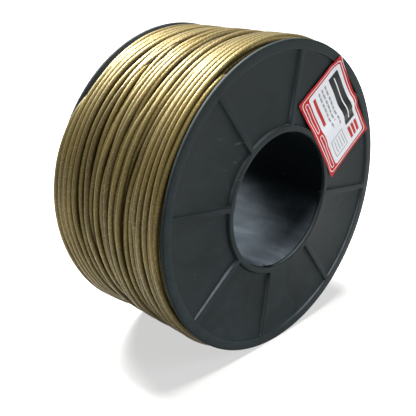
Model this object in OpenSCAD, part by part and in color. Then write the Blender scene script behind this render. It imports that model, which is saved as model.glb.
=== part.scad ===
// Reel of plastic-coated wire rope, lying on the rims of its two flanges.
// The reel's axis runs along Y, the front flange faces -Y and Z is up.
// The origin is on the axis, midway between the flanges.

/* [Flanges] */
// Diameter of each flange
flange_d = 220; // [190:1:300]
// Thickness of a flange at its rim and at its hub
flange_t = 5.5; // [4.5:0.1:9]
// Clear width between the two flanges
winding_w = 99; // [50:1:180]
// Width of the flat ring along the rim
rim_w = 6.8; // [4:0.1:14]
// Width of the flat ring around the bore
hub_w = 4.1; // [3.2:0.1:10]
// Depth of the sunk panels beside the hub ring
panel_depth_hub = 2.4; // [0.6:0.1:3]
// Depth of the sunk panels beside the rim ring
panel_depth_rim = 1.2; // [0.4:0.1:3]
// Rounding of the outer edges of a rim
rim_round = 0.9; // [0.3:0.1:2]
// Rounding of the mouth of the bore
mouth_round = 0.8; // [0.2:0.1:1.4]

/* [Ribs] */
// Number of ribs on a flange
rib_count = 8; // [3:1:16]
// Width of a rib
rib_w = 3.4; // [1.5:0.1:8]
// Angle of the first rib, from +X
rib_start = -8.6; // [-90:0.1:90]

/* [Barrel] */
// Bore diameter of each flange
bore_d = 97.2; // [60:0.1:120]
// Step from the flange's bore in to the barrel's inner wall
barrel_step = 1.4; // [0.8:0.1:2.5]
// Wall of the barrel
barrel_wall = 3; // [2:0.1:5]
// Depth of the socket that takes an end of the barrel
socket_depth = 3; // [2:0.1:4]
// Clearance of the barrel in its sockets
socket_gap = 0.2; // [0.1:0.05:0.5]

/* [Snap tabs] */
// Number of snap tabs on an end of the barrel
tab_count = 4; // [2:1:8]
// Angle of the first tab, from +X
tab_start = -12; // [-90:1:90]
// Width of a tab along the bore
tab_w = 7.5; // [3:0.5:15]
// Height of a tab above the end of the barrel
tab_h = 1.5; // [0.5:0.1:3]

/* [Rope] */
// Outside diameter of the coated rope
rope_d = 4; // [2:0.5:10]
// Depth of the winding below the rims, at its ends
winding_drop = 2.8; // [2:0.1:40]
// Rise of the winding's radius at mid-width
winding_crown = 1.6; // [0:0.1:4]
// Clearance between the winding and the reel
winding_gap = 0.25; // [0.1:0.05:1]

/* [Label] */
// Length of the paper label, along the rim
label_l = 75; // [30:1:100]
// Height of the paper label, along the radius
label_h = 51; // [20:0.2:52]
// Thickness of the label
label_t = 0.25; // [0.1:0.05:0.5]
// Angle of the label's short side, from +X
label_angle = 35; // [0:1:360]
// Shift of the label along its long side, from its centre line
label_shift = 6; // [0:0.5:8]
// Distance from the label's nearer outer corner to the rim's edge
label_inset = 0.6; // [0:0.1:10]

/* [Hidden] */
$fn = 96;
eps = 0.5;

flange_r = flange_d / 2;
bore_r = bore_d / 2;
half_w = winding_w / 2;
face_z = half_w + flange_t;
rim_inner_r = flange_r - rim_w;
hub_outer_r = bore_r + hub_w;

barrel_ir = bore_r - barrel_step;
barrel_or = barrel_ir + barrel_wall;
socket_r = barrel_or + socket_gap;
barrel_half = half_w + socket_depth - socket_gap;

wound_r = flange_r - winding_drop;
wound_half = half_w - winding_gap;
wound_ir = barrel_or + winding_gap;
turns = floor(2 * wound_half / (1.02 * rope_d));
turn_pitch = 2 * wound_half / turns;
layers = floor((wound_r - wound_ir) / (0.98 * rope_d));
layer_pitch = (wound_r - wound_ir) / layers;

label_mid_r = sqrt(pow(flange_r - label_inset, 2) - pow(label_l / 2 + label_shift, 2)) - label_h / 2;

// Points of an arc, from angle a0 to angle a1 in n steps
function arc(x, y, r, a0, a1, n) =
    [for (i = [0 : n]) let (a = a0 + (a1 - a0) * i / n) [x + r * cos(a), y + r * sin(a)]];

// Points of a row of half-round crests, one per turn: [along, height] with the grooves at height 0
crest_steps = 6;
function crest(pitch) =
    let (half = pitch / 2, sag = 0.3 * rope_d, r = (half * half + sag * sag) / (2 * sag),
         open = asin(half / r))
    [for (i = [0 : crest_steps - 1])
        let (a = -open + 2 * open * i / crest_steps) [half + r * sin(a), r * cos(a) - r + sag]];

// Radius of the winding's grooves at a place along the axis
function groove_r(z) = wound_r - 0.3 * rope_d + winding_crown * (1 - pow(z / wound_half, 2));

// Outline of the winding in [radius, along]: up the front end, back over the turns, down the
// back end. The layers show as crests on both ends, and the turns as crests on the outside.
function front_end() =
    [for (k = [0 : layers - 1], p = crest(layer_pitch))
        [wound_ir + k * layer_pitch + p[0], wound_half - 0.3 * rope_d + p[1]]];
function outer_turns() =
    [for (k = [0 : turns - 1], p = crest(turn_pitch))
        let (z = wound_half - k * turn_pitch - p[0]) [groove_r(z) + p[1], z]];

module winding_outline() {
    ends = [for (p = front_end()) if (p[0] < wound_r - 0.3 * rope_d) p];
    sides = [for (p = outer_turns()) if (abs(p[1]) < wound_half - 0.3 * rope_d) p];
    last = len(ends) - 1;
    polygon(concat(ends, sides, [for (i = [last : -1 : 0]) [ends[i][0], -ends[i][1]]]));
}

// Lays the reel down: the local Z axis, towards the front flange, becomes -Y
module lying() rotate([90, 0, 0]) children();

// Section of a flange, with its inner face at the side of the winding
module flange_section() {
    r_out = flange_r - rim_round;
    polygon(concat(
        [[socket_r, 0]],
        arc(r_out, rim_round, rim_round, -90, 0, 5),
        arc(r_out, flange_t - rim_round, rim_round, 0, 90, 5),
        arc(bore_r + mouth_round, flange_t - mouth_round, mouth_round, 90, 180, 4),
        [[bore_r, socket_depth], [socket_r, socket_depth]]));
}

// Section of the sunk panels, whose floor rises from the hub ring to the rim ring
module panel_section() {
    polygon([[hub_outer_r, flange_t - panel_depth_hub], [rim_inner_r, flange_t - panel_depth_rim],
             [rim_inner_r, flange_t + eps], [hub_outer_r, flange_t + eps]]);
}

module ribs() {
    for (k = [0 : rib_count - 1])
        rotate([0, 0, rib_start + k * 360 / rib_count])
            translate([hub_outer_r - eps, -rib_w / 2, 0])
                cube([rim_inner_r - hub_outer_r + 2 * eps, rib_w, flange_t + 2 * eps]);
}

// One flange, lying on its inner face
module flange() {
    difference() {
        rotate_extrude() flange_section();
        difference() {
            rotate_extrude() panel_section();
            ribs();
        }
    }
}

// One snap tab on an end of the barrel, before the barrel is bored
module snap_tab() {
    intersection() {
        cylinder(h = tab_h + eps, r = bore_r - socket_gap);
        translate([bore_r / 2, -tab_w / 2, -eps]) cube([bore_r, tab_w, tab_h + 3 * eps]);
    }
}

module front_flange() {
    color([0.16, 0.18, 0.19]) lying() translate([0, 0, half_w]) flange();
}

module back_flange() {
    color([0.16, 0.18, 0.19]) lying() mirror([0, 0, 1]) translate([0, 0, half_w]) flange();
}

module barrel() {
    color([0.2, 0.22, 0.24]) lying() {
        difference() {
            union() {
                translate([0, 0, -barrel_half]) cylinder(h = 2 * barrel_half, r = barrel_or);
                for (side = [0, 1], k = [0 : tab_count - 1])
                    mirror([0, 0, side]) rotate([0, 0, tab_start + k * 360 / tab_count])
                        translate([0, 0, barrel_half - eps]) snap_tab();
            }
            translate([0, 0, -half_w - 2 * flange_t]) cylinder(h = winding_w + 4 * flange_t, r = barrel_ir);
        }
    }
}

module rope_winding() {
    color([0.72, 0.62, 0.38]) lying() rotate_extrude() winding_outline();
}

module label() {
    color([0.9, 0.88, 0.87]) lying() rotate([0, 0, label_angle])
        translate([label_mid_r - label_h / 2, label_shift - label_l / 2, face_z])
            cube([label_h, label_l, label_t]);
}

front_flange();
back_flange();
barrel();
rope_winding();
label();
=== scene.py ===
import bpy
import bmesh
import math
import numpy as np
from mathutils import Matrix, Vector


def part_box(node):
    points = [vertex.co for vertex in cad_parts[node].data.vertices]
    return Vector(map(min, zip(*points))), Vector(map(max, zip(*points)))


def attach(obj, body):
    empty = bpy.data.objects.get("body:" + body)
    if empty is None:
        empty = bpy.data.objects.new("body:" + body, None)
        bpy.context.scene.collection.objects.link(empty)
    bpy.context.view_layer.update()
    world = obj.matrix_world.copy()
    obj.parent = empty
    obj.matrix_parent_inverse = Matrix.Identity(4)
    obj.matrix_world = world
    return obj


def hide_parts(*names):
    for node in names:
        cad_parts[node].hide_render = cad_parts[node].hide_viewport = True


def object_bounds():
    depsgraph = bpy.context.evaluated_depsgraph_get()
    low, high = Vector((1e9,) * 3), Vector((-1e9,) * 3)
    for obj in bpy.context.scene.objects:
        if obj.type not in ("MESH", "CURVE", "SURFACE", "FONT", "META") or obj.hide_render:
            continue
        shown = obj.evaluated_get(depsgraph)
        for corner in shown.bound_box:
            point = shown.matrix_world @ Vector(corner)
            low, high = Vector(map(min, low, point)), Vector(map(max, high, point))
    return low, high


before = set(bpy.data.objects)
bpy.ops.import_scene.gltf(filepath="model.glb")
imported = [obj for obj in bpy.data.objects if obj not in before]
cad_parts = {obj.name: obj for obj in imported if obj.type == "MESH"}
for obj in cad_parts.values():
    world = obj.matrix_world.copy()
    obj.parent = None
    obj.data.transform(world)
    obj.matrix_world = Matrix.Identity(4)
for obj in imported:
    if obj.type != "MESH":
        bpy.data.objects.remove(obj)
cadLow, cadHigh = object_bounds()
mm = 0.001

flangeLow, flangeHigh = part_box("front_flange")
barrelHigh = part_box("barrel")[1]
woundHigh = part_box("rope_winding")[1]

# the reel's axis is Y, and its front flange, with the label, faces -Y
reel = {
    "faceY": flangeLow.y,            # outer face of the front flange
    "innerY": flangeHigh.y,          # its inner face
    "rimRadius": flangeHigh.z,
    "rimRing": 6.8 * mm,             # flat ring along the rim
    "rimRound": 0.9 * mm,
    "boreRadius": 48.6 * mm,
    "hubRing": 4.1 * mm,             # flat ring round the bore
    "mouthRound": 0.8 * mm,
    "ribs": 8,
    "ribWidth": 3.4 * mm,
    "ribStart": -8.6,                # degrees from +X
    "panelAtHub": 2.6 * mm,          # depth of the sunk panels
    "panelAtRim": 1.7 * mm,
    "panelSide": 0.7 * mm,           # width of their sloping sides
    "edgeRound": 0.45 * mm,
    "taperWidth": 4.8 * mm,          # the inner side of each rim is cut back for the outermost turns
    "taperDepth": 3.3 * mm,
    "lip": 0.35 * mm,                # small slope between the cut back side and the rim
    "lipRise": 0.2 * mm,
    "socketRadius": barrelHigh.x + 0.2 * mm,
    "socketDepth": 3.0 * mm,
    "segments": 144,
}
hubRadius = reel["boreRadius"] + reel["hubRing"]     # the panels lie between these two
rimInner = reel["rimRadius"] - reel["rimRing"]


# selecting and finishing

def clearSelection():
    if bpy.context.object and bpy.context.object.mode != "OBJECT":
        bpy.ops.object.mode_set(mode="OBJECT")
    bpy.ops.object.select_all(action="DESELECT")


def pick(piece):
    clearSelection()
    piece.select_set(True)
    bpy.context.view_layer.objects.active = piece


def selectFaces(piece, test):
    bpy.ops.mesh.select_mode(type="FACE")
    bpy.ops.mesh.select_all(action="DESELECT")
    mesh = bmesh.from_edit_mesh(piece.data)
    for face in mesh.faces:
        if test(face.calc_center_median(), face.normal):
            face.select_set(True)
    mesh.select_flush_mode()
    bmesh.update_edit_mesh(piece.data)


def selectVertices(piece, test):
    bpy.ops.mesh.select_mode(type="VERT")
    bpy.ops.mesh.select_all(action="DESELECT")
    mesh = bmesh.from_edit_mesh(piece.data)
    for vertex in mesh.verts:
        if test(vertex.co):
            vertex.select_set(True)
    mesh.select_flush(True)
    bmesh.update_edit_mesh(piece.data)


def bevelEdges(piece, width, segments, angle):
    pick(piece)
    bevel = piece.modifiers.new("bevel", "BEVEL")
    bevel.width = width
    bevel.segments = segments
    bevel.limit_method = "ANGLE"
    bevel.angle_limit = math.radians(angle)
    bpy.ops.object.modifier_apply(modifier=bevel.name)


def smoothShade(piece, angle=35):
    pick(piece)
    bpy.ops.object.shade_smooth_by_angle(angle=math.radians(angle))


def finishPiece(piece, name, material, node):
    piece.name = name
    piece.data.name = name
    piece.data.materials.clear()
    piece.data.materials.append(material)
    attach(piece, "root")
    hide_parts(node)
    clearSelection()


def fromAxis(co):
    return math.hypot(co.x, co.z)


def softStep(value, low, high):
    # 0 below low and 1 above high, with a soft change between them
    share = np.clip((value - low) / (high - low), 0, 1)
    return share * share * (3 - 2 * share)


def arcPoints(centre, radius, start, end, steps):
    angles = [math.radians(start + (end - start) * i / steps) for i in range(steps + 1)]
    return [(centre[0] + radius * math.cos(a), centre[1] + radius * math.sin(a)) for a in angles]


def turnProfile(points, segments, startAngle=0.0):
    # draws a closed profile of (radius, y) points, then spins it about the reel's axis
    turn = math.radians(startAngle)
    place = [Vector((r * math.cos(turn), y, r * math.sin(turn))) for r, y in points]
    clearSelection()
    bpy.ops.mesh.primitive_plane_add(size=mm, location=place[0])
    piece = bpy.context.object
    bpy.ops.object.transform_apply(location=True, rotation=False, scale=False)
    bpy.ops.object.mode_set(mode="EDIT")
    bpy.ops.mesh.select_all(action="SELECT")
    bpy.ops.mesh.merge(type="CENTER")
    for here, there in zip(place, place[1:]):
        bpy.ops.mesh.extrude_vertices_move(TRANSFORM_OT_translate={"value": there - here})
    bpy.ops.mesh.select_all(action="SELECT")
    bpy.ops.mesh.edge_face_add()             # closes the outline, and its face isn't kept
    bpy.ops.mesh.delete(type="ONLY_FACE")
    bpy.ops.mesh.select_all(action="SELECT")
    bpy.ops.mesh.spin(steps=segments, angle=2 * math.pi, center=(0, 0, 0), axis=(0, 1, 0))
    bpy.ops.mesh.select_all(action="SELECT")
    bpy.ops.mesh.remove_doubles(threshold=0.005 * mm)
    bpy.ops.mesh.normals_make_consistent(inside=False)
    bpy.ops.object.mode_set(mode="OBJECT")
    return piece


# shader maths

class Value:
    def __init__(self, finish, socket):
        self.finish = finish
        self.socket = socket

    def maths(self, operation, *others):
        return self.finish.maths(operation, self, *others)

    def __add__(self, other):
        return self.maths("ADD", other)

    def __radd__(self, other):
        return self.maths("ADD", other)

    def __sub__(self, other):
        return self.maths("SUBTRACT", other)

    def __rsub__(self, other):
        return self.finish.maths("SUBTRACT", other, self)

    def __mul__(self, other):
        return self.maths("MULTIPLY", other)

    def __rmul__(self, other):
        return self.maths("MULTIPLY", other)

    def __truediv__(self, other):
        return self.maths("DIVIDE", other)

    def sine(self):
        return self.maths("SINE")

    def root(self):
        return self.maths("SQRT")

    def size(self):
        return self.maths("ABSOLUTE")

    def fraction(self):
        return self.maths("FRACT")

    def power(self, other):
        return self.maths("POWER", other)

    def least(self, other):
        return self.maths("MINIMUM", other)

    def most(self, other):
        return self.maths("MAXIMUM", other)

    def step(self, low, high):
        # 0 below low and 1 above high, with a soft change between them
        ends = {"Value": self, "From Min": low, "From Max": high}
        node = self.finish.node("ShaderNodeMapRange", {"interpolation_type": "SMOOTHSTEP"}, ends)
        return Value(self.finish, node.outputs["Result"])


class Finish:
    def __init__(self, owner):
        # owner is a new material, or the world
        owner.use_nodes = True
        self.owner = owner
        self.tree = owner.node_tree
        self.tree.nodes.clear()

    def node(self, kind, settings=None, sockets=None):
        # its settings are set first, then the values or links of its sockets
        node = self.tree.nodes.new(kind)
        for key, setting in (settings or {}).items():
            setattr(node, key, setting)
        for key, given in (sockets or {}).items():
            socket = node.inputs[key]
            if isinstance(given, Value):
                given = given.socket
            if isinstance(given, bpy.types.NodeSocket):
                self.tree.links.new(given, socket)
            elif socket.type == "RGBA":
                socket.default_value = (*given, 1)
            else:
                socket.default_value = given
        return node

    def shader(self, kind, sockets):
        return self.node(kind, sockets=sockets).outputs[0]

    def maths(self, operation, *terms):
        node = self.node("ShaderNodeMath", {"operation": operation}, dict(enumerate(terms)))
        return Value(self, node.outputs[0])

    def mix(self, factor, first, second):
        # a Mix node's colours are its inputs 6 and 7, and its output 2
        return self.node("ShaderNodeMix", {"data_type": "RGBA"}, {0: factor, 6: first, 7: second}).outputs[2]

    def coordinates(self, output="Object"):
        return self.node("ShaderNodeTexCoord").outputs[output]

    def normal(self):
        return self.node("ShaderNodeNewGeometry").outputs["Normal"]

    def axes(self, vector, names):
        parts = self.node("ShaderNodeSeparateXYZ", sockets={"Vector": vector})
        return [Value(self, parts.outputs[name]) for name in names]

    def noise(self, vector, scale, detail=3.0, rough=0.55, warp=0.0):
        look = {"Vector": vector, "Scale": scale, "Detail": detail, "Roughness": rough, "Distortion": warp}
        return Value(self, self.node("ShaderNodeTexNoise", sockets=look).outputs["Fac"])

    def stretched(self, vector, scale):
        return self.node("ShaderNodeMapping", sockets={"Vector": vector, "Scale": scale}).outputs[0]

    def bump(self, height, distance, strength):
        look = {"Height": height, "Distance": distance, "Strength": strength}
        return self.node("ShaderNodeBump", sockets=look).outputs[0]

    def seenWhite(self):
        # 1 for the rays that see the plain background
        ray = self.node("ShaderNodeLightPath")
        names = ("Is Camera Ray", "Is Glossy Ray", "Is Transmission Ray")
        camera, glossy, through = [Value(self, ray.outputs[name]) for name in names]
        return camera.most(glossy).most(through)

    def done(self, shader, output="ShaderNodeOutputMaterial"):
        self.node(output, sockets={"Surface": shader})
        return self.owner

    def surface(self, sockets):
        return self.done(self.shader("ShaderNodeBsdfPrincipled", sockets))


# finishes

plasticLook = {
    "colour": (0.0065, 0.0110, 0.0115),
    # dust on the faces, which the walls keep little of, as painted shade
    "dustAndLightColour": (0.0260, 0.0365, 0.0410),
    "paintedLedgeColour": (0.195, 0.21, 0.25),      # painted highlight on the walls and edges that face up and to the left
    "scratch": (0.14, 0.16, 0.17),
    "gloss": 0.09,
    "roughness": 0.46,                 # on the flat faces
    "edgeRoughness": 0.32,             # on walls and rounded edges
    "edgeShine": 0.12,
    "inBore": False,
}
# painted shade: the back flange is the same plastic, made darker
shadedBackLook = dict(plasticLook, colour=(0.0060, 0.0085, 0.0090), dustAndLightColour=(0.0120, 0.0155, 0.0165))
boreLook = {
    "colour": (0.004, 0.006, 0.007),
    # painted light: the lighter, dusty colour of the lower inside, where the light falls
    "dustAndLightColour": (0.060, 0.073, 0.088),
    "scratch": (0.20, 0.23, 0.27),
    "gloss": 0.006,
    "roughness": 0.40,
    "edgeRoughness": 0.36,
    "edgeShine": 0.0,
    "inBore": True,
}
# how far from the axis each change of the plastic sets in and is full
plasticBandsAt = {
    "hub": (54.0 * mm, 62.0 * mm),
    "rimRing": (102.8 * mm, 103.6 * mm),
    "rimEdge": (108.2 * mm, 109.2 * mm),
    "rimGloss": (108.4 * mm, 109.4 * mm),
    "rimWear": (108.5 * mm, 110.0 * mm),
}


def reelPlastic(name, look):
    finish = Finish(bpy.data.materials.new(name))
    place = finish.coordinates()
    x, z = finish.axes(place, "XZ")
    nx, ny, nz = finish.axes(finish.normal(), "XYZ")
    radius = (x * x + z * z).root()
    flat = ny.size().step(0.75, 0.98)          # 1 on flat faces, 0 on walls and rounded edges
    offHub = radius.step(*plasticBandsAt["hub"])
    rimEdge = radius.step(*plasticBandsAt["rimEdge"])
    haze = finish.noise(place, scale=14.0, detail=3.0, rough=0.5, warp=0.8).step(0.40, 0.66)
    cloud = finish.noise(place, scale=44.0, detail=5.0, rough=0.62, warp=1.0).step(0.36, 0.72)
    grain = finish.noise(place, scale=2600.0, detail=2.0, rough=0.5)
    lines = finish.stretched(place, (60.0, 60.0, 900.0))
    scuff = finish.noise(lines, scale=1.0, detail=3.0, rough=0.5, warp=1.2)
    scuffed = scuff.step(0.66, 0.72) * finish.noise(place, scale=30.0, detail=2.0).step(0.55, 0.7)
    if look["inBore"]:
        # dusty and rubbed along its lower side only, which is lighter as painted light where the light falls
        # into the bore, while the upper side is left dark as painted shade
        run = finish.stretched(place, (60.0, 16.0, 60.0))
        streaks = finish.noise(run, scale=1.0, detail=3.0, rough=0.5, warp=0.8).step(0.36, 0.70)
        rubbed = finish.noise(place, scale=26.0, detail=3.0, rough=0.5, warp=0.6).step(0.34, 0.72)
        paintedLightBelow = nz.step(0.1, 0.6)
        scuffed = (scuffed * 0.5 + streaks * rubbed * 0.4).least(1.0) * paintedLightBelow
        dustWithPaintedLight = (haze * 0.15 + streaks * 0.25 + rubbed * 0.25 + 0.45).least(1.0) * paintedLightBelow
        colour = finish.mix(dustWithPaintedLight, look["colour"], look["dustAndLightColour"])
    else:
        # painted shade: the walls of ribs and rings keep little of the lighter face colour, so they stay
        # darker than the faces, and a painted highlight lightens those that face up and to the left
        rimWear = radius.step(*plasticBandsAt["rimWear"]) * cloud
        # painted shade: the flange is made darker towards its top
        paintedTopShade = 1 - z.step(20.0 * mm, 120.0 * mm) * 0.6
        dustWithPaintedLight = (haze * 0.50 + cloud * 0.42 + rimWear * 0.2).least(1.0) * paintedTopShade
        # painted shade: walls and rounded edges keep only 15% of the dust colour
        dustWithPaintedLight = (dustWithPaintedLight + radius.step(*plasticBandsAt["rimRing"]) * 0.22).least(1.0) * (flat * 0.85 + 0.15)
        # painted highlight: walls and edges that face up and to the left are lightened, less by the hub and
        # hardly on the outer rim
        paintedLedgeMask = (1 - flat) * (nz * 0.7 - nx * 0.7).step(0.60, 1.02) * (cloud * 0.4 + 0.6)
        paintedLedgeMask = paintedLedgeMask * (1 - rimEdge * 0.94) * (offHub * 0.62 + 0.38)
        colour = finish.mix(dustWithPaintedLight, look["colour"], look["dustAndLightColour"])
        colour = finish.mix(paintedLedgeMask, colour, look["paintedLedgeColour"])
    colour = finish.mix(scuffed * 0.45, colour, look["scratch"])
    speck = finish.noise(place, scale=420.0, detail=1.0, rough=0.4).step(0.775, 0.81)
    colour = finish.mix(speck * 0.30, colour, look["scratch"])
    rough = flat * (look["roughness"] - look["edgeRoughness"]) + look["edgeRoughness"]
    rough = rough + haze * 0.08 + cloud * 0.08 + scuffed * 0.12 + rimEdge * 0.30
    rough = rough + (1 - offHub) * (1 - flat) * 0.35
    shine = (1 - flat) * (1 - radius.step(*plasticBandsAt["rimGloss"])) * offHub * look["edgeShine"]
    height = grain * 0.4 + cloud * 0.25 + scuffed * 0.5
    return finish.surface({"Base Color": colour, "Roughness": rough, "Specular IOR Level": look["gloss"],
                           "Coat Weight": shine, "Coat Roughness": 0.2,
                           "Normal": finish.bump(height, 0.05 * mm, 0.35)})


ropeLook = {
    "wire": (0.094, 0.072, 0.021),
    # painted shade: the colour the rope darkens to at the sides of its turns
    "paintedValleyShade": (0.070, 0.051, 0.014),
    "warm": (0.102, 0.068, 0.018),
    "grey": (0.064, 0.054, 0.023),
    "deep": (0.046, 0.033, 0.010),     # some lengths of the rope are browner and darker
    # painted highlight: the colour of glints on the wires
    "pale": (0.50, 0.43, 0.23),
    "metal": 0.80,
    "strands": 6,
    "lay": 22.0,          # mm along the rope for a strand to go once round
    "wirePitch": 1.1,     # mm between the crossings of single wires
    "wireSlant": 7.0,
    "warmChange": 0.0025,     # changes of tone in each mm along the rope
    "deepChange": 0.0042,
}


def ropeCoating(name, look):
    finish = Finish(bpy.data.materials.new(name))
    uv = finish.coordinates("UV")
    along, around = finish.axes(uv, "XY")     # millimetres along the rope, turns around it
    place = finish.coordinates()
    x, z = finish.axes(place, "XZ")
    nx, nz = finish.axes(finish.normal(), "XZ")
    radius = (x * x + z * z).root()
    crest = (nx * x + nz * z) / radius        # 1 on top of a turn, 0 at its sides
    strand = ((around + along / look["lay"]) * look["strands"] * math.pi).sine().size()
    wire = ((along / look["wirePitch"] - around * look["wireSlant"]) * 2 * math.pi).sine() * 0.5 + 0.5
    warmRun = finish.stretched(uv, (look["warmChange"], 0.0, 0.0))
    warm = finish.noise(warmRun, scale=1.0, detail=1.0).step(0.35, 0.65)
    deepRun = finish.stretched(uv, (look["deepChange"], 0.0, 0.0))
    deep = finish.noise(deepRun, scale=1.0, detail=1.0).step(0.46, 0.66)
    tint = finish.noise(place, scale=35.0, detail=3.0).step(0.3, 0.7)
    glint = finish.noise(place, scale=900.0, detail=2.0, rough=0.6).step(0.5, 0.72)
    ridge = strand.step(0.0, 0.6)
    raised = radius.step(104.0 * mm, 110.5 * mm)
    # painted shade: darker at the sides of each turn, between the twisted strands and on the lower turns
    shade = (crest.step(-0.2, 0.9) * 0.75 + ridge * 0.15 + raised * 0.15).least(1.0)
    colour = finish.mix(warm * 0.6, look["wire"], look["warm"])
    colour = finish.mix(tint * 0.4, colour, look["grey"])
    colour = finish.mix(deep * 0.70, colour, look["deep"])
    # painted highlight: pale glints on the wires
    colour = finish.mix(glint * wire * 0.28, colour, look["pale"])
    colour = finish.mix(shade, look["paintedValleyShade"], colour)
    rough = 0.43 + wire * 0.10 - glint * 0.20 + tint * 0.06 + (1 - crest.step(0.45, 0.98)) * 0.24
    height = strand.power(0.7) + wire * 0.35
    return finish.surface({"Base Color": colour, "Roughness": rough, "Metallic": look["metal"],
                           "Specular IOR Level": 0.3, "Coat Weight": 0.12, "Coat Roughness": 0.25,
                           "Coat IOR": 1.45,
                           "Normal": finish.bump(height, 0.065 * mm, 0.7)})


# painted shade: the buried layers get a darker rope colour than the outer turns
coreLook = {
    "dark": (0.05, 0.038, 0.016),
    "light": (0.10, 0.08, 0.04),
    "roughness": 0.6,
}


def shadedCoreFinish(name, look):
    finish = Finish(bpy.data.materials.new(name))
    place = finish.coordinates()
    colour = finish.mix(finish.noise(place, scale=60.0, detail=3.0), look["dark"], look["light"])
    return finish.surface({"Base Color": colour, "Roughness": look["roughness"],
                           "Normal": finish.bump(finish.noise(place, scale=300.0), 0.2 * mm, 0.5)})


labelLook = {
    "red": (0.42, 0.011, 0.012),
    "white": (0.72, 0.745, 0.80),
    "black": (0.007, 0.007, 0.008),
    "grey": (0.22, 0.22, 0.24),
    "soil": (0.35, 0.33, 0.30),
    "size": (75.0, 51.0),                # millimetres, along the rim and out from the hub
    "roughness": 0.42,
    "gloss": 0.12,
}


def labelPrint(name, look):
    finish = Finish(bpy.data.materials.new(name))
    uv = finish.coordinates("UV")
    place = finish.coordinates()
    u, v = finish.axes(uv, "XY")
    length, height = look["size"]
    across = u * length
    up = v * height
    red, white, black, grey = look["red"], look["white"], look["black"], look["grey"]

    def box(left, low, right, high, corner=0.2, soft=0.14):
        # 1 inside a rectangle with rounded corners
        dx = ((across - (left + right) / 2).size() - ((right - left) / 2 - corner)).most(0.0)
        dy = ((up - (low + high) / 2).size() - ((high - low) / 2 - corner)).most(0.0)
        return 1 - (dx * dx + dy * dy).root().step(corner - soft, corner + soft)

    # a red frame with a white line in it, and a white field
    colour = finish.mix(box(1.9, 1.9, length - 1.9, height - 1.9, 3.4), red, white)
    colour = finish.mix(box(2.5, 2.5, length - 2.5, height - 2.5, 3.0), colour, red)
    colour = finish.mix(box(3.9, 9.4, length - 3.9, height - 3.9, 2.2), colour, white)
    # two outlined bars in the red foot
    for left, right in ((5.0, 33.0), (36.0, length - 5.0)):
        colour = finish.mix(box(left, 4.3, right, 7.9, 1.5), colour, white)
        colour = finish.mix(box(left + 0.6, 4.9, right - 0.6, 7.3, 1.1), colour, red)
    # a black band with a white line, and three red blocks beside it
    colour = finish.mix(box(7.5, height - 18.0, length - 22.0, height - 7.0, 0.6), colour, black)
    colour = finish.mix(box(10.5, height - 13.1, length - 25.0, height - 12.1, 0.3), colour, white)
    for low in (height - 18.0, height - 14.0, height - 10.0):
        colour = finish.mix(box(length - 19.0, low, length - 8.0, low + 2.8, 0.4), colour, red)
    # rows of short grey dashes over a red bar
    uneven = finish.noise(finish.stretched(uv, (9.0, 0.0, 0.0)), scale=1.0, detail=1.0)
    dashes = (across * 0.21 + uneven * 0.9).fraction().step(0.16, 0.22)
    for low, right in ((27.0, 46.0), (23.2, 38.0), (19.4, 42.0)):
        colour = finish.mix(box(8.0, low, right, low + 1.7) * dashes * 0.85, colour, grey)
    colour = finish.mix(box(8.0, 12.6, 34.0, 15.6, 0.4), colour, red)
    # an outlined panel with four grey lines
    colour = finish.mix(box(length - 24.0, 13.0, length - 8.0, 28.0, 0.8), colour, grey)
    colour = finish.mix(box(length - 23.4, 13.6, length - 8.6, 27.4, 0.5), colour, white)
    for low in (16.0, 19.0, 22.0, 25.0):
        colour = finish.mix(box(length - 21.5, low, length - 10.5, low + 0.8) * 0.8, colour, grey)
    # a sliver of bare paper along the outer edge, by its upper corner
    bare = (up - (height - 0.9) - across * 0.05).step(-0.08, 0.08)
    colour = finish.mix(bare, colour, white)
    grain = finish.noise(place, scale=900.0, detail=3.0)
    soil = finish.noise(place, scale=70.0, detail=4.0, rough=0.6).step(0.45, 0.8)
    colour = finish.mix(soil * 0.03, colour, look["soil"])
    return finish.surface({"Base Color": colour, "Roughness": look["roughness"] + soil * 0.1,
                           "Specular IOR Level": look["gloss"],
                           "Normal": finish.bump(grain, 0.03 * mm, 0.3)})


blackPlastic = reelPlastic("blackPlastic", plasticLook)
borePlastic = reelPlastic("borePlastic", boreLook)
shadedBackPlastic = reelPlastic("shadedBackPlastic", shadedBackLook)
goldCoating = ropeCoating("goldCoating", ropeLook)
shadedWinding = shadedCoreFinish("shadedWinding", coreLook)
printedPaper = labelPrint("printedPaper", labelLook)
print("finishes")


# flanges

def flangeProfile():
    face, inner = reel["faceY"], reel["innerY"]
    rim, bore, socket = reel["rimRadius"], reel["boreRadius"], reel["socketRadius"]
    rimRound, mouthRound = reel["rimRound"], reel["mouthRound"]
    lipTop = inner - reel["taperDepth"] + reel["lipRise"]
    socketFloor = inner - reel["socketDepth"]
    points = [(socket, inner), (rim - reel["taperWidth"], inner)]
    points += [(rim - reel["lip"], lipTop), (rim, lipTop - reel["lip"])]
    points += arcPoints((rim - rimRound, face + rimRound), rimRound, 0, -90, 4)
    points += [(rimInner, face), (hubRadius, face)]
    points += arcPoints((bore + mouthRound, face + mouthRound), mouthRound, -90, -180, 4)
    points += [(bore, socketFloor), (socket, socketFloor)]
    return points


def ribOffset(co):
    # degrees round from the nearest rib's middle
    bay = 360.0 / reel["ribs"]
    turn = (math.degrees(math.atan2(co.z, co.x)) - reel["ribStart"]) % bay
    return turn if turn < bay / 2 else turn - bay


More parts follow.
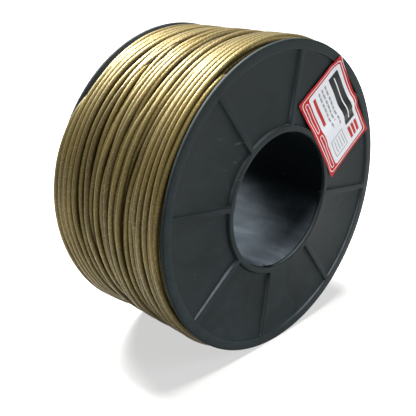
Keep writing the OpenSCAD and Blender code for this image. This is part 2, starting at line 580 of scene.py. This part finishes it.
def makeFrontFlange():
    step = 360.0 / reel["segments"]
    face = reel["faceY"]
    panelFloor = face + reel["panelAtRim"]
    nearHub = hubRadius + 12 * mm
    piece = turnProfile(flangeProfile(), reel["segments"], reel["ribStart"] - step / 2)
    pick(piece)
    bpy.ops.object.mode_set(mode="EDIT")
    mesh = bmesh.from_edit_mesh(piece.data)
    for vertex in mesh.verts:        # the edges beside each rib's middle are set to its width
        co = vertex.co
        radius, off = fromAxis(co), ribOffset(co)
        onFace = abs(co.y - face) < 0.01 * mm and hubRadius - mm < radius < rimInner + mm
        if onFace and abs(off) < 0.55 * step:
            halfWidth = math.copysign(math.asin(reel["ribWidth"] / 2 / radius), off)
            turn = math.atan2(co.z, co.x) - math.radians(off) + halfWidth
            vertex.co.x, vertex.co.z = radius * math.cos(turn), radius * math.sin(turn)
    bmesh.update_edit_mesh(piece.data)
    selectFaces(piece, lambda co, normal: normal.y < -0.9 and abs(co.y - face) < 0.1 * mm
                and hubRadius < fromAxis(co) < rimInner and abs(ribOffset(co)) > 0.6 * step)
    bpy.ops.mesh.inset(thickness=reel["panelSide"], depth=-reel["panelAtRim"], use_even_offset=True)
    selectVertices(piece, lambda co: abs(co.y - panelFloor) < 0.1 * mm and hubRadius < fromAxis(co) < nearHub)
    bpy.ops.transform.translate(value=(0, reel["panelAtHub"] - reel["panelAtRim"], 0))
    bpy.ops.object.mode_set(mode="OBJECT")
    bevelEdges(piece, reel["edgeRound"], 3, 25)
    smoothShade(piece)
    return piece


def makeBackFlange(front):
    pick(front)
    bpy.ops.object.duplicate(linked=False)
    piece = bpy.context.object
    bpy.ops.object.mode_set(mode="EDIT")
    bpy.ops.mesh.select_all(action="SELECT")
    bpy.ops.transform.resize(value=(1, -1, 1), center_override=(0, 0, 0))
    bpy.ops.mesh.flip_normals()
    bpy.ops.object.mode_set(mode="OBJECT")
    smoothShade(piece)
    return piece


frontFlange = makeFrontFlange()
backFlange = makeBackFlange(frontFlange)
finishPiece(frontFlange, "frontFlange", blackPlastic, "front_flange")
finishPiece(backFlange, "backFlange", shadedBackPlastic, "back_flange")
print("flanges", len(frontFlange.data.polygons))


# barrel

barrel = {
    "inner": 47.2 * mm,
    "outer": barrelHigh.x,
    "half": 52.3 * mm,
    "edgeRound": 0.4 * mm,
    "flare": 1.1 * mm,        # each end of the wall opens out by this much
    "flareLength": 3.0 * mm,
    "segments": 128,
    "tabs": 4,
    "tabStart": -12.0,        # degrees from +X
    "tabWidth": 7.5 * mm,
    "tabEnd": barrelHigh.y,
    "tabOuter": reel["boreRadius"] - 0.2 * mm,
    "tabRound": 0.25 * mm,
}


def makeTab(side, degrees):
    # a block at the mouth, bent round the bore and turned to its place
    inner = barrel["inner"]
    length = barrel["tabEnd"] - barrel["half"] + mm
    middle = ((inner + barrel["tabOuter"]) / 2, side * (barrel["tabEnd"] - length / 2), 0)
    clearSelection()
    bpy.ops.mesh.primitive_cube_add(size=1, location=middle,
                                    scale=(barrel["tabOuter"] - inner, length, barrel["tabWidth"]))
    tab = bpy.context.object
    bpy.ops.object.transform_apply(location=True, rotation=False, scale=True)
    bpy.ops.object.mode_set(mode="EDIT")
    bpy.ops.mesh.select_all(action="SELECT")
    bpy.ops.mesh.subdivide(number_cuts=3)
    mesh = bmesh.from_edit_mesh(tab.data)
    for vertex in mesh.verts:
        radius = vertex.co.x
        angle = vertex.co.z / inner + math.radians(degrees)
        vertex.co.x, vertex.co.z = radius * math.cos(angle), radius * math.sin(angle)
    bmesh.update_edit_mesh(tab.data)
    bpy.ops.mesh.normals_make_consistent(inside=False)
    bpy.ops.object.mode_set(mode="OBJECT")
    bevelEdges(tab, barrel["tabRound"], 3, 50)
    smoothShade(tab, 50)
    return tab


def makeBarrel():
    inner, outer, half = barrel["inner"], barrel["outer"], barrel["half"]
    edgeRound, flare, flareLength = barrel["edgeRound"], barrel["flare"], barrel["flareLength"]
    points = [(inner, -half + flareLength), (inner + flare, -half)]
    points += arcPoints((outer - edgeRound, -half + edgeRound), edgeRound, 270, 360, 3)
    points += arcPoints((outer - edgeRound, half - edgeRound), edgeRound, 0, 90, 3)
    points += [(inner + flare, half), (inner, half - flareLength)]
    tube = turnProfile(points, barrel["segments"])
    smoothShade(tube)
    parts = [tube]
    for side in (-1, 1):
        for k in range(barrel["tabs"]):
            parts.append(makeTab(side, barrel["tabStart"] + k * 360 / barrel["tabs"]))
    clearSelection()
    for part in parts:
        part.select_set(True)
    bpy.context.view_layer.objects.active = tube
    bpy.ops.object.join()
    return tube


barrelTube = makeBarrel()
finishPiece(barrelTube, "barrelTube", borePlastic, "barrel")
print("barrel", len(barrelTube.data.polygons))


# rope

rope = {
    "diameter": 4.0,                 # millimetres, as is everything about the rope
    "contact": 0.82,                 # the coating gives where turns press on each other
    "beside": 0.92,                  # and where they lie side by side
    "inside": 101.6,                 # radius of the first turns that can show
    "cap": 112.5,                    # the winding is held to about this radius
    "capSoft": 1.5,
    "floor": 109.5,                  # the underside stays above this depth
    "halfWidth": woundHigh.y / mm - 0.3,
    "perTurn": 120,                  # places along one turn
    "startPlace": 40,
    "sides": 10,
    # each layer of turns runs from one flange to the other: neighbours drift together, a turn
    # wanders alone, turns bunch up in groups, and dwell crowds them together by the two flanges
    "layers": (
        {"turns": 23.0, "span": (-1.0, 1.0), "wander": 0.4, "drift": 0.5, "bunch": 0.0, "dwell": 0.0},
        {"turns": 21.6, "span": (1.0, -1.0), "wander": 1.8, "drift": 2.4, "bunch": 1.6, "dwell": 0.1},
        {"turns": 19.4, "span": (-1.0, 1.0), "wander": 2.6, "drift": 3.6, "bunch": 1.8, "dwell": 0.2},
        {"turns": 14.4, "span": (1.0, -0.98), "wander": 3.4, "drift": 5.0, "bunch": 2.2, "dwell": 0.35},
    ),
    "bunchWidth": 9.1,
    "heap": 4.8,                                # how far the turns by the back flange are piled up
    "heapSide": (124.0, 166.0, 214.0, 254.0),   # and round which part of the reel, in degrees
    "heapTop": 1.9,                             # how far they pass the cap
    "frontHeap": 1.6,                           # the same by the front flange
    "frontSide": (80.0, 110.0, 234.0, 264.0),
    "slack": 3.0,                               # the winding is lower over the top at the back
    "slackAt": 100.0,
    "lean": 2.8,                                # how far the outermost turns lie out over the rims
    "heapLean": 1.6,
    "tail": 22,                                 # places over which the rope's end is tucked in
    "tailDepth": 9.0,
    "seed": 7,
}
anyPhase = 6.28      # a wave starts anywhere in its round


def smoothNoise(random, count, waves, size):
    # a smooth wander over a number of places
    place = np.arange(count) / count * 2 * math.pi
    total = np.zeros(count)
    for wave in waves:
        total += random.normal() / wave ** 0.5 * np.sin(wave * place + random.uniform(0, 2 * math.pi))
    return total * size / max(1e-6, np.abs(total).max())


def layTurns(random, layer, limit):
    # where one layer's turns lie between the flanges, place by place along the rope
    per = rope["perTurn"]
    count = int(layer["turns"] * per)
    share = np.linspace(0, 1, count)
    start, end = layer["span"]
    direction = 1 if end > start else -1
    paced = share - layer["dwell"] * np.sin(2 * math.pi * share) / (2 * math.pi)
    across = limit * (start + (end - start) * paced)
    turn = 2 * math.pi * np.arange(count) / per
    # neighbours drift together, and that changes slowly from turn to turn
    together = np.zeros(count)
    for wave in (1, 2, 3):
        strength = random.uniform(0.5, 1.4)
        pace = random.uniform(1.0, 3.0)
        slow = strength * np.sin(share * math.pi * pace + random.uniform(0, anyPhase))
        together += np.sin(wave * turn + random.uniform(0, anyPhase) + 1.6 * slow) / wave
    alone = smoothNoise(random, count, [layer["turns"] * f for f in (0.21, 0.37, 0.63, 1.1, 1.7)], 1.0)
    alone += smoothNoise(random, count, [layer["turns"] * f for f in (2.3, 3.1, 4.3)], 0.35)
    bent = 1.1 * np.sin(turn + 1.0)
    group = np.sin(across / rope["bunchWidth"] * math.pi + bent + random.uniform(0, anyPhase))
    free = 1 - (np.abs(across) / limit) ** 6
    across = across + (layer["drift"] * together + layer["wander"] * alone + layer["bunch"] * group) * free
    # turns of one layer lie side by side
    gap = rope["beside"] * rope["diameter"]
    for repeat in range(60):
        apart = direction * (across[per:] - across[:-per])
        push = np.maximum(gap - apart, 0) * 0.5
        across[per:] += direction * push
        across[:-per] -= direction * push
        across = np.clip(across, -limit, limit)
    return np.convolve(np.pad(across, 4, "edge"), np.ones(9) / 9, "valid")


def restTurns(across, places):
    # how far from the axis each place lies, resting on the turns that it crosses
    per = rope["perTurn"]
    touch = rope["contact"] * rope["diameter"]
    step = 2 * math.pi / per
    radius = np.full(len(across), rope["inside"])
    laid = [[] for i in range(per)]
    for begin in range(0, len(across), per):
        end = min(begin + per, len(across))
        for i in range(begin, end):
            height = rope["inside"]
            for y, r in laid[places[i]]:
                apart = abs(across[i] - y)
                if apart < touch:
                    height = max(height, r + math.sqrt(touch ** 2 - apart ** 2))
            radius[i] = height
        # a taut turn bridges the dips between what it crosses
        low = max(0, begin - 20)
        stretch = radius[low:end].copy()
        for repeat in range(110):
            bridged = 2 * stretch[:-2] * stretch[2:] * math.cos(step) / (stretch[:-2] + stretch[2:])
            stretch[1:-1] = np.maximum(stretch[1:-1], bridged)
        radius[begin:end] = stretch[begin - low:]
        for i in range(begin, end):
            laid[places[i]].append((across[i], radius[i]))
            if len(laid[places[i]]) > 60:
                laid[places[i]].pop(0)
    return radius


def within(turned, side):
    # 1 round one part of the reel, with a soft start and end
    rise, full, fade, gone = side
    return softStep(turned, rise, full) * (1 - softStep(turned, fade, gone))


def pileTurns(radius, angle, back):
    # piled up by both flanges, lower over the top at the back, and clear of the floor
    turned = np.degrees(angle) % 360
    piled = within(turned, rope["heapSide"]) * softStep(back, 0.80, 0.99)
    atFront = within(turned, rope["frontSide"]) * softStep(1 - back, 0.84, 0.97)
    overTop = np.maximum(np.cos(angle - math.radians(rope["slackAt"])), 0) ** 2
    radius = radius + rope["heap"] * piled + rope["frontHeap"] * atFront
    top = rope["cap"] - rope["slack"] * back * overTop + rope["heapTop"] * piled
    ground = rope["floor"] / np.maximum(-np.sin(angle), 0.1)
    soft = rope["capSoft"]
    limit = np.minimum(top, ground) - rope["diameter"] / 2 - soft
    over = np.maximum(radius - limit, 0)
    return np.where(over > 0, limit + soft * (1 - np.exp(-over / soft)), radius), piled


def leanTurns(across, radius, piled, back, limit):
    # the outermost turns lean out over the cut back edges of the flanges
    half = rope["diameter"] / 2
    rim, taper, depth = reel["rimRadius"] / mm, reel["taperWidth"] / mm, reel["taperDepth"] / mm
    slope = depth / taper
    room = slope * (radius - rim + taper) - half * (math.hypot(1, slope) - 1)
    above = np.clip(radius - rim, 0, half)
    edge = depth - reel["innerY"] / mm - np.sqrt(half ** 2 - above ** 2)
    outermost = np.where(above > 0, edge, np.minimum(limit + np.maximum(room, 0), edge))
    lean = rope["lean"] * (np.abs(across) / limit) ** 4
    lean += rope["heapLean"] * piled * softStep(back, 0.93, 1.0)
    leaned = np.clip(across + np.sign(across) * lean, -outermost, outermost) - across
    soft = np.hanning(23) / np.hanning(23).sum()
    return across + np.convolve(np.pad(leaned, 11, "edge"), soft, "valid")


def layRope():
    # lays the last layers of turns and returns the rope's centreline
    random = np.random.default_rng(rope["seed"])
    limit = rope["halfWidth"] - rope["diameter"] / 2
    across = np.concatenate([layTurns(random, layer, limit) for layer in rope["layers"]])
    places = (rope["startPlace"] + np.arange(len(across))) % rope["perTurn"]
    angle = places * (2 * math.pi / rope["perTurn"])
    back = (across / limit + 1) / 2          # 0 at the front flange and 1 at the back one
    radius, piled = pileTurns(restTurns(across, places), angle, back)
    across = leanTurns(across, radius, piled, back, limit)
    # the last of the rope is tucked under its neighbours
    tail = np.clip((np.arange(len(across)) - (len(across) - rope["tail"])) / rope["tail"], 0, 1)
    radius = radius - rope["tailDepth"] * tail ** 2
    print("rope laid", len(across), "places, highest", round(float(radius.max()), 2))
    return np.stack([radius * np.cos(angle), across, radius * np.sin(angle)], axis=1) * mm


def makeRope(points):
    clearSelection()
    bpy.ops.curve.primitive_nurbs_path_add()
    curve = bpy.context.object
    curve.data.splines.clear()
    line = curve.data.splines.new("POLY")
    line.points.add(len(points) - 1)
    line.points.foreach_set("co", np.concatenate([points, np.ones((len(points), 1))], axis=1).ravel())
    curve.data.dimensions = "3D"
    curve.data.twist_mode = "MINIMUM"
    curve.data.bevel_depth = rope["diameter"] / 2 * mm
    curve.data.bevel_resolution = rope["sides"] // 2 - 2
    curve.data.use_fill_caps = True
    bpy.ops.object.convert(target="MESH")
    return bpy.context.object


def mapRope(piece, points):
    # millimetres along the rope and turns around it, for the twisted wires
    sides = rope["sides"]
    mesh = piece.data
    around = np.zeros(len(mesh.vertices))
    along = np.zeros(len(mesh.vertices))
    run = np.concatenate([[0], np.cumsum(np.linalg.norm(np.diff(points, axis=0), axis=1))]) / mm
    ringed = min(len(mesh.vertices), len(points) * sides)
    index = np.arange(ringed)
    along[:ringed] = run[index // sides]
    around[:ringed] = (index % sides) / sides
    loops = np.zeros(len(mesh.loops), dtype=np.int64)
    mesh.loops.foreach_get("vertex_index", loops)
    u = along[loops]
    v = around[loops]
    # a face that closes the ring has its low corners lifted by one whole turn
    starts = np.zeros(len(mesh.polygons), dtype=np.int64)
    totals = np.zeros(len(mesh.polygons), dtype=np.int64)
    mesh.polygons.foreach_get("loop_start", starts)
    mesh.polygons.foreach_get("loop_total", totals)
    corners = starts[totals == 4][:, None] + np.arange(4)
    wrapped = (v[corners].max(axis=1) - v[corners].min(axis=1)) > 0.5
    closing = corners[wrapped]
    v[closing] = np.where(v[closing] < 0.5, v[closing] + 1.0, v[closing])
    layer = mesh.uv_layers.new(name="wires") if not mesh.uv_layers else mesh.uv_layers[0]
    layer.data.foreach_set("uv", np.stack([u, v], axis=1).ravel().astype(np.float32))


ropePoints = layRope()
ropeTurns = makeRope(ropePoints)
mapRope(ropeTurns, ropePoints)
pick(ropeTurns)
bpy.ops.object.shade_smooth()
finishPiece(ropeTurns, "ropeTurns", goldCoating, "rope_winding")
print("rope", len(ropeTurns.data.polygons))


core = {
    "clear": 0.3,            # millimetres, off the barrel
    "under": 1.4,            # below the first turns that can show
    "short": 2.1,            # of the winding's half width
    "crest": 1.2,            # height of the buried turns on the two ends
    "layerStep": 3.92,
    "segments": 96,
}


def makeCore():
    # the buried layers: their crests show only on the two ends
    inner = barrelHigh.x / mm + core["clear"]
    outer = rope["inside"] - core["under"]
    half = rope["halfWidth"] - core["short"]
    layers = int((outer - inner) / core["layerStep"])
    pitch = (outer - inner) / layers
    front = [(inner, half)]
    for k in range(layers):
        for share in (0.12, 0.32, 0.5, 0.68, 0.88):
            front.append((inner + (k + share) * pitch, half + core["crest"] * math.sin(share * math.pi)))
    front.append((outer, half))
    points = [(r * mm, -y * mm) for r, y in front] + [(r * mm, y * mm) for r, y in reversed(front)]
    piece = turnProfile(points, core["segments"])
    smoothShade(piece, 40)
    return piece


windingCore = makeCore()
finishPiece(windingCore, "windingCore", shadedWinding, "rope_winding")
print("winding", len(windingCore.data.polygons))


# label

label = {
    "length": labelLook["size"][0] * mm,
    "height": labelLook["size"][1] * mm,
    "angle": 35.0,
    "shift": 6.0 * mm,                 # along its long side
    "inset": 0.6 * mm,                 # of its nearer corner from the rim's edge
    "clear": 0.05 * mm,
    "sag": 0.7875 * mm,                # into the sunk panels, and more by the hub
    "ridge": 0.75 * mm,                # over the rib, at its outer edge
    "ridgeWidth": 2.4 * mm,
    "ripple": 0.16 * mm,
    "curl": 1.8 * mm,                  # of the upper corner, and half as much of the one across
    "curlReach": (11 * mm, 9 * mm),
    "thickness": 0.2 * mm,
    "grid": (110, 76),
}


def paperDepth(u, v, x, z):
    # how the paper lies: down in the panels, up over the rib, and off at two corners
    length, height = label["length"], label["height"]
    rib = math.radians(reel["ribStart"] + 360 / reel["ribs"])
    radius = math.hypot(x, z)
    fromRib = abs(math.sin(math.atan2(z, x) - rib) * radius) - reel["ribWidth"] / 2
    free = softStep(fromRib, 0, 8 * mm) * softStep(rimInner - radius, -0.5 * mm, 5 * mm)
    free *= softStep(radius - hubRadius, 0, 6 * mm)
    deeper = 1 + 0.7 * softStep(rimInner - radius, 5 * mm, 30 * mm)
    ridge = label["ridge"] * math.exp(-max(0.0, fromRib / label["ridgeWidth"]) ** 2) * softStep(v, 0.45, 1.0)
    ripple = label["ripple"] * math.sin(u * 21 + v * 7 + 1.0) * free
    upper, lower = label["curlReach"]
    curl = max(0.0, 1 - math.hypot((1 - v) * height, u * length) / upper) ** 2
    curl += 0.5 * max(0.0, 1 - math.hypot(v * height, (1 - u) * length) / lower) ** 2
    return label["sag"] * free * deeper - ridge + ripple - label["curl"] * curl


def makeLabel():
    columns, rows = label["grid"]
    clearSelection()
    bpy.ops.mesh.primitive_grid_add(x_subdivisions=columns, y_subdivisions=rows, size=1, location=(0, 0, 0))
    piece = bpy.context.object
    turn = math.radians(label["angle"])
    length, height = label["length"], label["height"]
    corner = reel["rimRadius"] - label["inset"]
    middle = math.sqrt(corner ** 2 - (length / 2 + label["shift"]) ** 2) - height / 2
    flat = reel["faceY"] - label["clear"] - label["thickness"]
    bpy.ops.object.mode_set(mode="EDIT")
    mesh = bmesh.from_edit_mesh(piece.data)
    for vertex in mesh.verts:
        u, v = vertex.co.x + 0.5, vertex.co.y + 0.5
        out = middle + (v - 0.5) * height
        side = label["shift"] - (u - 0.5) * length      # the label reads along the rim, clockwise
        x = out * math.cos(turn) - side * math.sin(turn)
        z = out * math.sin(turn) + side * math.cos(turn)
        vertex.co = (x, flat + paperDepth(u, v, x, z), z)
    bmesh.update_edit_mesh(piece.data)
    bpy.ops.mesh.select_all(action="SELECT")
    bpy.ops.mesh.normals_make_consistent(inside=False)
    bpy.ops.object.mode_set(mode="OBJECT")
    if sum(face.normal.y for face in piece.data.polygons) > 0:
        bpy.ops.object.mode_set(mode="EDIT")
        bpy.ops.mesh.flip_normals()
        bpy.ops.object.mode_set(mode="OBJECT")
    pick(piece)
    paper = piece.modifiers.new("paper", "SOLIDIFY")
    paper.thickness = label["thickness"]
    paper.offset = -1
    bpy.ops.object.modifier_apply(modifier=paper.name)
    smoothShade(piece, 50)
    return piece


paperLabel = makeLabel()
finishPiece(paperLabel, "paperLabel", printedPaper, "label")
print("label", len(paperLabel.data.polygons))


# floor, lights and camera

setting = {
    "floorSize": 8.0,
    "floorColour": (0.30, 0.30, 0.30),
    "floorNear": (0.60, 0.60, 0.60),      # glow by the reel, which keeps its shadow
    "floorFar": (0.94, 0.94, 0.94),
    "floorFade": (0.20, 0.75),
    "worldColour": (0.95, 0.97, 1.0),
    "worldStrength": 0.04,
}
lamps = {
    "keyLamp": {"from": (0.03, 0.72, 0.69), "distance": 1.4, "size": (0.55, 0.36), "longSide": (1, 0, 0),
                "power": 84.0, "colour": (1.0, 0.98, 0.93)},
    "topLamp": {"from": (0.02, 0.07, 1.0), "distance": 1.6, "size": (1.0, 0.35), "longSide": (0, 1, 0),
                "power": 98.0, "colour": (1.0, 0.99, 0.95)},
    "frontLamp": {"from": (0.46, -0.78, 0.42), "distance": 2.4, "size": (1.3, 0.9), "longSide": (1, 0, 0),
                  "power": 24.0, "colour": (0.97, 0.98, 1.0)},
}
view = {
    "azimuth": -45.07,                       # degrees
    "elevation": 22.2,
    "lens": 60.577,                          # millimetres, and the sensor's width
    "sensor": 36,
    "frontCentre": (0.464, -0.043, 4.392),   # right, down and away from the camera, in rim radii
    "clipStart": 0.01,
}


def makeFloor():
    clearSelection()
    bpy.ops.mesh.primitive_plane_add(size=setting["floorSize"], location=(0, 0, cadLow.z))
    floor = bpy.context.object
    floor.name = "floor"
    finish = Finish(bpy.data.materials.new("paleFloor"))
    x, y = finish.axes(finish.coordinates(), "XY")
    far = (x * x + y * y).root().step(*setting["floorFade"])
    pale = finish.mix(far, setting["floorNear"], setting["floorFar"])
    matte = finish.shader("ShaderNodeBsdfDiffuse", {"Color": setting["floorColour"]})
    glow = finish.shader("ShaderNodeEmission", {"Color": pale, "Strength": 1.0})
    both = finish.shader("ShaderNodeAddShader", {0: matte, 1: glow})
    seen = finish.shader("ShaderNodeMixShader", {0: finish.seenWhite(), 1: matte, 2: both})
    floor.data.materials.append(finish.done(seen))


def makeWorld():
    finish = Finish(bpy.data.worlds.new("studio"))
    soft = finish.shader("ShaderNodeBackground", {"Color": setting["worldColour"],
                                                  "Strength": setting["worldStrength"]})
    white = finish.shader("ShaderNodeBackground", {"Color": (1, 1, 1), "Strength": 1.0})
    seen = finish.shader("ShaderNodeMixShader", {0: finish.seenWhite(), 1: soft, 2: white})
    bpy.context.scene.world = finish.done(seen, "ShaderNodeOutputWorld")


def addLamp(name, look):
    # a soft box that faces the reel, with its first size along longSide
    clearSelection()
    back = Vector(look["from"]).normalized()
    up = back.cross(Vector(look["longSide"])).normalized()
    side = up.cross(back)
    bpy.ops.object.light_add(type="AREA", location=back * look["distance"])
    lamp = bpy.context.object
    lamp.name = name
    lamp.data.shape = "RECTANGLE"
    lamp.data.size, lamp.data.size_y = look["size"]
    lamp.data.energy = look["power"]
    lamp.data.color = look["colour"]
    lamp.rotation_euler = Matrix((side, up, back)).transposed().to_euler()


def makeCamera():
    turn, rise = math.radians(view["azimuth"]), math.radians(view["elevation"])
    right = Vector((math.cos(turn), math.sin(turn), 0))
    ahead = Vector((-math.sin(turn) * math.cos(rise), math.cos(turn) * math.cos(rise), -math.sin(rise)))
    up = right.cross(ahead)
    radius = reel["rimRadius"]
    sideways, down, away = view["frontCentre"]
    middle = Vector((0, reel["faceY"], 0))     # of the front flange's face
    place = middle - right * sideways * radius + up * down * radius - ahead * away * radius
    clearSelection()
    bpy.ops.object.camera_add(location=place)
    camera = bpy.context.object
    camera.rotation_euler = ahead.to_track_quat("-Z", "Y").to_euler()
    camera.data.sensor_width = view["sensor"]
    camera.data.lens = view["lens"]
    camera.data.clip_start = view["clipStart"]
    bpy.context.scene.camera = camera


makeFloor()
makeWorld()
for lampName, lampLook in lamps.items():
    addLamp(lampName, lampLook)
makeCamera()
bpy.context.scene.view_settings.view_transform = "Standard"

print("scene ready")
